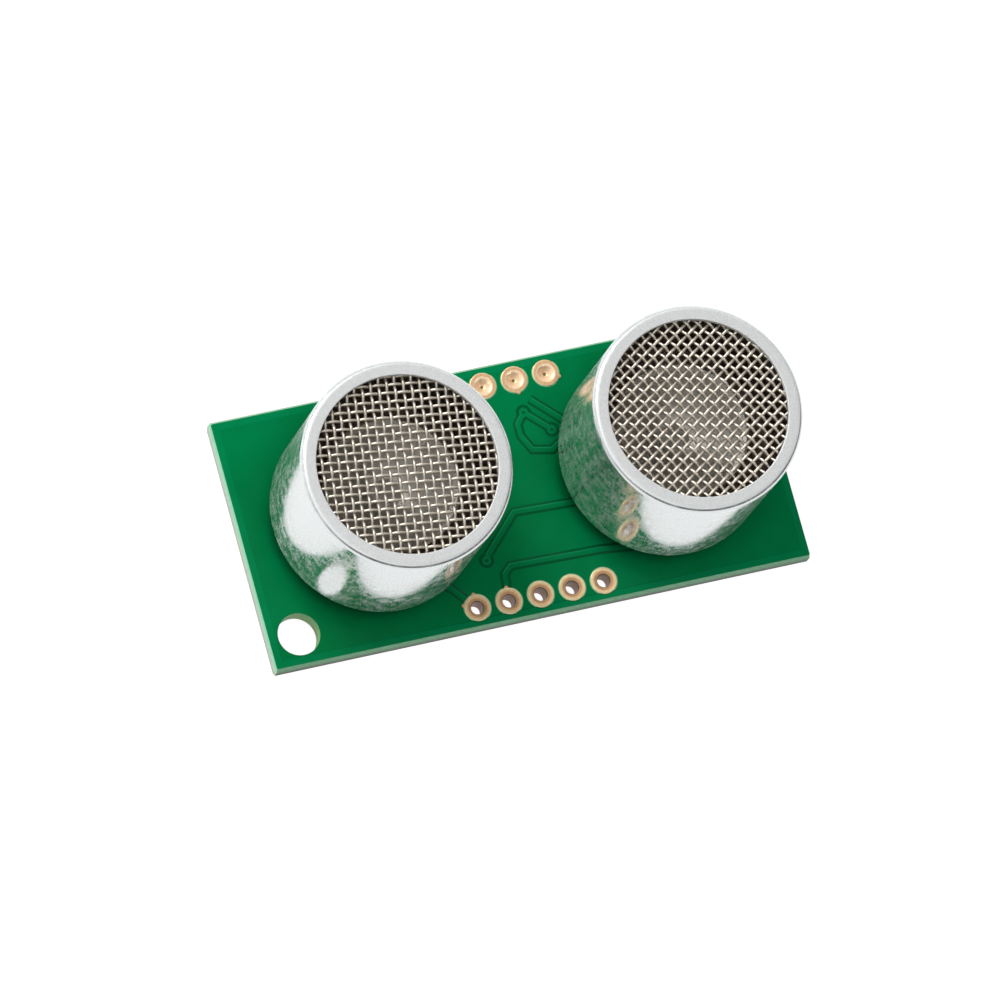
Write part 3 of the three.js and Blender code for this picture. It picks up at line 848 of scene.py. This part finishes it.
def make_base(name):
    """The moulded base: a disc whose middle is sunk on both faces."""
    low, high, centre, radius = round_box(f"{name}_terminal_base")
    sunk, edge = 0.25, 0.1
    profile = [(0, low.z + sunk), (5.9, low.z + sunk), (6.1, low.z), (radius - edge, low.z),
               (radius, low.z + edge), (radius, high.z - edge), (radius - edge, high.z),
               (radius - 0.9, high.z), (radius - 1.1, high.z - sunk), (0, high.z - sunk)]
    make_turned(f"{name}_base", profile, centre, 96, ["base"], [f"{name}_terminal_base"])


def make_pins(name):
    """The two terminal pins, with chamfered ends."""
    for i in (1, 2):
        node = f"{name}_terminal_pin_{i}"
        low, high, centre, radius = round_box(node)
        tip = 0.12
        profile = [(0, low.z), (radius - tip, low.z), (radius, low.z + tip),
                   (radius, high.z - tip), (radius - tip, high.z), (0, high.z)]
        make_turned(f"{name}_pin_{i}", profile, centre, 28, ["tin"], [node])


def make_leads(name):
    """The two fine wires between the pins and the vibrator."""
    r = 0.1
    for i in (1, 2):
        low, high = box_mm(f"{name}_lead_wire_{i}")
        y = (low.y + high.y) / 2
        if i == 1:
            turns = [(high.x, high.z - 0.16), (low.x + 0.55, high.z - r),
                     (low.x + r, high.z - 0.4), (low.x + 0.24, low.z)]
        else:
            turns = [(low.x, high.z - r), (low.x + 1.1, low.z + r),
                     (high.x - 0.8, low.z + r), (high.x, high.z - 0.2)]
        bm = bmesh.new()
        add_tube(bm, smooth_path([(x, y, z) for x, z in turns], 8), r * 0.9, 10)
        make_piece(f"{name}_lead_{i}", bm, ["tin"], [f"{name}_lead_wire_{i}"])


def smooth_path(points, steps):
    """A Catmull-Rom curve through points."""
    points = [Vector(p) for p in points]
    ends = [2 * points[0] - points[1], *points, 2 * points[-1] - points[-2]]
    path = []
    for a, b, c, d in zip(ends, ends[1:], ends[2:], ends[3:]):
        for k in range(steps):
            t = k / steps
            path.append(0.5 * (2 * b + (c - a) * t + (2 * a - 5 * b + 4 * c - d) * t**2
                               + (3 * b - a - 3 * c + d) * t**3))
    return [*path, points[-1]]


def make_solder_joint(terminal):
    """A smooth concave cone of solder from the land to the pin."""
    low, high, centre, foot = round_box(f"{terminal}_solder")
    pin = 0.36
    steps = 10
    curve = [
        (pin + (foot - pin) * (1 - math.sin(math.pi / 2 * t)), high.z - (high.z - low.z) * t)
        for t in (i / steps for i in range(steps + 1))
    ]
    profile = [(pin - 0.06, high.z), *curve, (pin - 0.06, low.z)]
    make_turned(f"{terminal}_solder_cone", profile, centre, 48, ["solder"], [f"{terminal}_solder"])


def make_transducer(name):
    make_can(name)
    make_screen(name)
    make_cone(name)
    make_disc(f"{name}_vibrating_plate", f"{name}_plate", "plate")
    make_disc(f"{name}_piezo_disc", f"{name}_piezo", "piezo")
    make_ring(name)
    make_base(name)
    make_pins(name)
    make_leads(name)


# ---- chips and small parts on the back

LEAD_PITCH = 1.27
CHIPS = {"driver_chip": 8, "amplifier_chip": 7, "microcontroller_chip": 7}  # leads on each side
ENDS = (-1, 1)
TRANSISTOR_LEGS = ((-0.95, 1), (0.95, 1), (0, -1))


def chip_frame(node):
    """(centre, low, high, turned) of a part on the back; turned is True when it lies along Y."""
    low, high = box_mm(node)
    size = high - low
    return (low + high) / 2, low, high, size.y > size.x


def add_gull_lead(bm, middle, out, along, span, body, top):
    """One lead: shoulder, bent riser and foot, as a strip with real thickness."""
    width, thick = 0.41, 0.18
    foot_z = BACK - thick / 2 - 0.01
    drop = foot_z - top
    path = smooth_path([
        Vector((body + reach, top + drop * share, 0))
        for reach, share in ((-0.15, 0), (0.12, 0), (0.3, 0.3), (0.4, 0.78), (0.6, 1))
    ] + [Vector((span, foot_z, 0))], 4)
    rows = []
    for i, point in enumerate(path):
        ahead = (path[min(i + 1, len(path) - 1)] - path[max(i - 1, 0)]).normalized()
        normal = Vector((-ahead.y, ahead.x, 0)) * thick / 2
        row = []
        for sign, side in ((1, 1), (1, -1), (-1, -1), (-1, 1)):
            p = point + sign * normal
            place = middle + out * p.x + along * (side * width / 2)
            row.append(bm.verts.new(place + Vector((0, 0, p.y))))
        rows.append(row)
    bridge(bm, rows, 1, capped=True)


def make_chip(node, leads_per_side):
    """A small-outline package: tapered moulding with a parting line, pin-one dimple and leads."""
    centre, low, high, turned = chip_frame(node)
    along, out = Vector((1, 0, 0)), Vector((0, 1, 0))
    if turned:
        along, out = out, along
    half = (high - low).dot(along) / 2
    span = (high - low).dot(out) / 2
    body = 1.95
    waist = BACK - 0.85
    bm = bmesh.new()
    draft = 0.14
    levels = [(low.z, draft), (waist - 0.08, 0.0), (waist + 0.08, 0.0), (BACK - 0.15, draft)]
    rings = []
    for z, inset in levels:
        outline = rectangle((-half, -body), (half, body), (inset, inset), 0.12)
        rings.append([bm.verts.new(along * x + out * y + Vector((centre.x, centre.y, z)))
                      for x, y in outline])
    bridge(bm, rings)
    bm.faces.new(rings[-1])
    add_dimpled_lid(bm, rings[0], centre, along, out, half, body, low.z)
    place = Vector((centre.x, centre.y, 0))
    for i in range(leads_per_side):
        offset = (i - (leads_per_side - 1) / 2) * LEAD_PITCH
        for side in (1, -1):
            add_gull_lead(bm, place + along * offset, out * side, along, span, body, waist)
    make_piece(f"{node}_package", bm, ["epoxy", "tin"], [node], 30)


def add_dimpled_lid(bm, ring, centre, along, out, half, body, z):
    """The package's flat face with a shallow round pin-one dimple near one corner."""
    middle = along * (0.85 - half) + out * (body - 0.85) + Vector((centre.x, centre.y, z))
    sides, radius = 20, 0.38
    rim = [bm.verts.new(middle + Vector((x, y, 0))) for x, y in circle(0, 0, radius, sides)]
    floor = [bm.verts.new(v.co + (middle - v.co) * 0.25 + Vector((0, 0, 0.06))) for v in rim]
    bridge(bm, [rim, floor])
    bm.faces.new(floor)
    edges = [bm.edges.get((loop[i - 1], loop[i])) for loop in (ring, rim) for i in range(len(loop))]
    bmesh.ops.triangle_fill(bm, use_beauty=True, use_dissolve=False, edges=edges)


def make_banded_chip(node, material, slot, bands):
    """A ceramic chip part with rounded metal bands across it, at shares of its half length."""
    centre, low, high, turned = chip_frame(node)
    half_width, half_length = sorted((high - low).xy / 2)
    skin = 0.035  # the bands stand proud of the body by this
    bm = bmesh.new()
    add_box(bm, (0, 0), (half_length - skin, half_width - skin), (low.z + skin, high.z - skin), 0.04)
    for place in bands:
        add_box(bm, (place * (half_length - 0.2), 0), (0.2, half_width), (low.z, high.z), 0.07, 1, 3)
    turn = Matrix.Rotation(math.pi / 2 if turned else 0, 4, "Z")
    move = Matrix.Translation((centre.x, centre.y, 0))
    bmesh.ops.transform(bm, matrix=move @ turn, verts=bm.verts)
    make_piece(f"{node}_chip", bm, [material, "tin"], [node], 40)


def make_transistor(node):
    """A three-legged package: a block, and for each leg a foot and a riser."""
    centre, low, _, _ = chip_frame(node)
    bm = bmesh.new()
    add_box(bm, centre.xy, (1.45, 0.65), (low.z, BACK - 0.1), 0.09)
    for offset, side in TRANSISTOR_LEGS:
        x, y = centre.x + offset, centre.y - side
        add_box(bm, (x, y), (0.2, 0.2), (BACK - 0.16, BACK - 0.01), 0.03, 1)
        add_box(bm, (x, y + side * 0.24 - 0.04), (0.2, 0.12), (BACK - 0.58, BACK - 0.03), 0.04, 1)
    make_piece(f"{node}_package", bm, ["epoxy", "tin"], [node], 40)


def make_led(node):
    """A chip lamp: a ceramic base, a metal band round each end, and a clear lens."""
    centre, low, high, _ = chip_frame(node)
    x, y = (high - low).xy / 2
    bm = bmesh.new()
    add_box(bm, centre.xy, (x, y), (BACK - 0.31, BACK - 0.01), 0.03, 1)
    for side in ENDS:
        middle = (centre.x, centre.y + side * (y - 0.17))
        add_box(bm, middle, (x, 0.17), (BACK - 0.34, BACK - 0.005), 0.03, 2)
    add_box(bm, centre.xy, (x - 0.05, 0.6), (low.z, BACK - 0.3), 0.12, 0, 4)
    make_piece(f"{node}_body", bm, ["lens", "alumina", "tin"], [node], 40)


def spot(node, along, out, half_along, half_out):
    """A rectangle (x0, y0, x1, y1) on the back, placed along and across a part from its middle."""
    centre, _, _, turned = chip_frame(node)
    x, y, half_x, half_y = along, out, half_along, half_out
    if turned:
        x, y, half_x, half_y = y, x, half_y, half_x
    x, y = x + centre.x, y + centre.y
    return x - half_x, y - half_y, x + half_x, y + half_y


def add_joint(bm, land, foot, height):
    """A gold land, and the solder that climbs from it to a part's foot."""
    between = [0.3 * a + 0.7 * b for a, b in zip(land, foot)]
    outlines = [
        rectangle(place[:2], place[2:], (inset, inset), 0.08)
        for place, inset in ((land, 0), (land, 0.05), (between, 0), (foot, 0))
    ]
    top = BACK - 0.03
    add_walls(bm, [(outlines[0], BACK + 0.005), (outlines[0], top), (outlines[1], top)], 0)
    climb = [(outlines[1], top), (outlines[2], top - 0.35 * height), (outlines[3], top - height)]
    add_walls(bm, climb, 1)
    cap = bm.faces.new([bm.verts.new((x, y, top - height)) for x, y in outlines[3]])
    cap.material_index = 1


def make_back_joints(banded):
    """The soldered joints of every part on the back."""
    bm = bmesh.new()
    for node, leads in CHIPS.items():
        _, low, high, _ = chip_frame(node)
        span = min((high - low).x, (high - low).y) / 2
        for i in range(leads):
            along = (i - (leads - 1) / 2) * LEAD_PITCH
            for side in ENDS:
                land = spot(node, along, side * (span - 0.15), 0.32, 0.58)
                add_joint(bm, land, spot(node, along, side * (span - 0.22), 0.23, 0.28), 0.11)
    for node, (_, _, bands) in banded.items():
        _, low, high, _ = chip_frame(node)
        width, length = sorted((high - low).xy)
        for place in bands:
            land = spot(node, place * (length / 2 - 0.05), 0, 0.45, width / 2 + 0.1)
            foot = spot(node, place * (length / 2 - 0.18), 0, 0.21, width / 2 + 0.01)
            add_joint(bm, land, foot, 0.5 * (high - low).z)
    for x, side in TRANSISTOR_LEGS:
        land = spot("pull_up_transistor", x, -side * 1.08, 0.36, 0.42)
        add_joint(bm, land, spot("pull_up_transistor", x, -side, 0.22, 0.22), 0.1)
    for side in ENDS:
        land = spot("indicator_led", side * 0.98, 0, 0.4, 0.7)
        add_joint(bm, land, spot("indicator_led", side * 0.85, 0, 0.19, 0.61), 0.22)
    weld(bm)
    make_piece("back_joints", bm, ["gold", "solder"], ["circuit_board"], 50)


def make_back_parts():
    banded = {"clock_resonator": ("alumina", "resonator_ceramic", (-1, 0, 1))}
    for node in sorted(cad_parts):
        if "capacitor" in node:
            banded[node] = ("capacitor", "capacitor_ceramic", ENDS)
        elif "resistor" in node:
            banded[node] = ("resistor", "resistor_film", ENDS)
    for node, leads in CHIPS.items():
        make_chip(node, leads)
    for node, looks in banded.items():
        make_banded_chip(node, *looks)
    make_transistor("pull_up_transistor")
    make_led("indicator_led")
    make_back_joints(banded)


# ---- floor, lights, camera

def make_floor():
    """A white light table: it glows as well as catching light, so nothing on it casts a hard shade."""
    bpy.ops.mesh.primitive_plane_add(size=4.0, location=(0, 0, -0.00002))
    floor = bpy.context.object
    floor.name = "light_table"
    mat, _, shader = new_material("light_table")
    put(shader, base_color=(0.12, 0.12, 0.12, 1), roughness=0.9, specular=0.0)
    put(shader, emission_color=(1, 1, 1, 1), emission_strength=0.97)
    floor.data.materials.append(mat)


LOW_BEHIND, LOW_BEYOND, OVERHEAD = 0.14, 0.9, 1.3  # how bright the tent's sides and top are
GAP_DIRECTION = (0.28, 0.22, 0.94)
KEY_DIRECTION, KEY_DISTANCE, KEY_SIZE, KEY_POWER = (-0.45, 0.8, 0.8), 0.7, 0.36, 2.6


def make_world():
    """A tent: bright beyond the board, dim on the near side, with a dark gap overhead."""
    world = bpy.data.worlds.new("tent")
    bpy.context.scene.world = world
    world.use_nodes = True
    tree = world.node_tree
    background = next(n for n in tree.nodes if n.type == "BACKGROUND")
    background.inputs["Color"].default_value = (1, 1, 1, 1)
    source = tree.nodes.new("ShaderNodeTexCoord")

    def toward(direction):
        node = tree.nodes.new("ShaderNodeVectorMath")
        node.operation = "DOT_PRODUCT"
        node.inputs[1].default_value = Vector(direction).normalized()
        tree.links.new(source.outputs["Generated"], node.inputs[0])
        return node.outputs["Value"]

    low = spread(tree, toward((-0.4, 1.0, 0.0)), LOW_BEHIND, LOW_BEYOND, -0.5, 0.5)
    rise = spread(tree, toward((0, 0, 1)), 0.0, 1.0, 0.5, 0.85)
    mixed = tree.nodes.new("ShaderNodeMix")
    tree.links.new(rise, mixed.inputs[0])
    tree.links.new(low, mixed.inputs[2])
    mixed.inputs[3].default_value = OVERHEAD
    gap = spread(tree, toward(GAP_DIRECTION), 1.0, 0.04, 0.89, 0.97)
    both = tree.nodes.new("ShaderNodeMath")
    both.operation = "MULTIPLY"
    tree.links.new(mixed.outputs[0], both.inputs[0])
    tree.links.new(gap, both.inputs[1])
    tree.links.new(both.outputs[0], background.inputs["Strength"])


def make_key_light():
    """One soft round light from beyond the programming pads."""
    light = bpy.data.lights.new("key", "AREA")
    light.shape = "DISK"
    light.size = KEY_SIZE
    light.energy = KEY_POWER
    holder = bpy.data.objects.new("key", light)
    bpy.context.scene.collection.objects.link(holder)
    direction = Vector(KEY_DIRECTION).normalized()
    holder.location = direction * KEY_DISTANCE
    holder.rotation_euler = direction.to_track_quat("Z", "Y").to_euler()


def make_camera():
    """Nearly square on to the board from above, from the transmitter's header side, and rolled."""
    azimuth, elevation, roll = (math.radians(a) for a in (-51.572, 69.788, 37.806))
    distance = 812.43 * MM
    target = Vector((-2.445, -1.642, 8.0)) * MM
    back = Vector((math.sin(azimuth) * math.cos(elevation), -math.cos(azimuth) * math.cos(elevation),
                   math.sin(elevation)))
    lens = bpy.data.cameras.new("camera")
    lens.lens = 387.6
    lens.sensor_width = 36.0
    lens.clip_start = 0.05
    lens.clip_end = 20.0
    camera = bpy.data.objects.new("camera", lens)
    camera.location = target + back * distance
    look = back.to_track_quat("Z", "Y")
    camera.rotation_euler = (look @ Quaternion((0, 0, 1), roll)).to_euler()
    bpy.context.scene.collection.objects.link(camera)
    bpy.context.scene.camera = camera


# ---- the scene

make_camera()
make_floor()
make_world()
make_key_light()
bpy.context.scene.view_settings.view_transform = "Standard"

make_board()
make_mask("front_mask_sheet", FRONT, FRONT - SKIN)
make_mask("back_mask_sheet", BACK, BACK + SKIN)
make_tracks("front_tracks", FRONT_TRACKS, FRONT_VIAS, FRONT, 1)
make_tracks("back_tracks", [bent(*ends) for ends in BACK_TRACKS], BACK_VIAS, BACK, -1)
make_pads()
for transducer in TRANSDUCERS:
    make_transducer(transducer)
for terminal in TERMINALS:
    make_solder_joint(terminal)
make_back_parts()
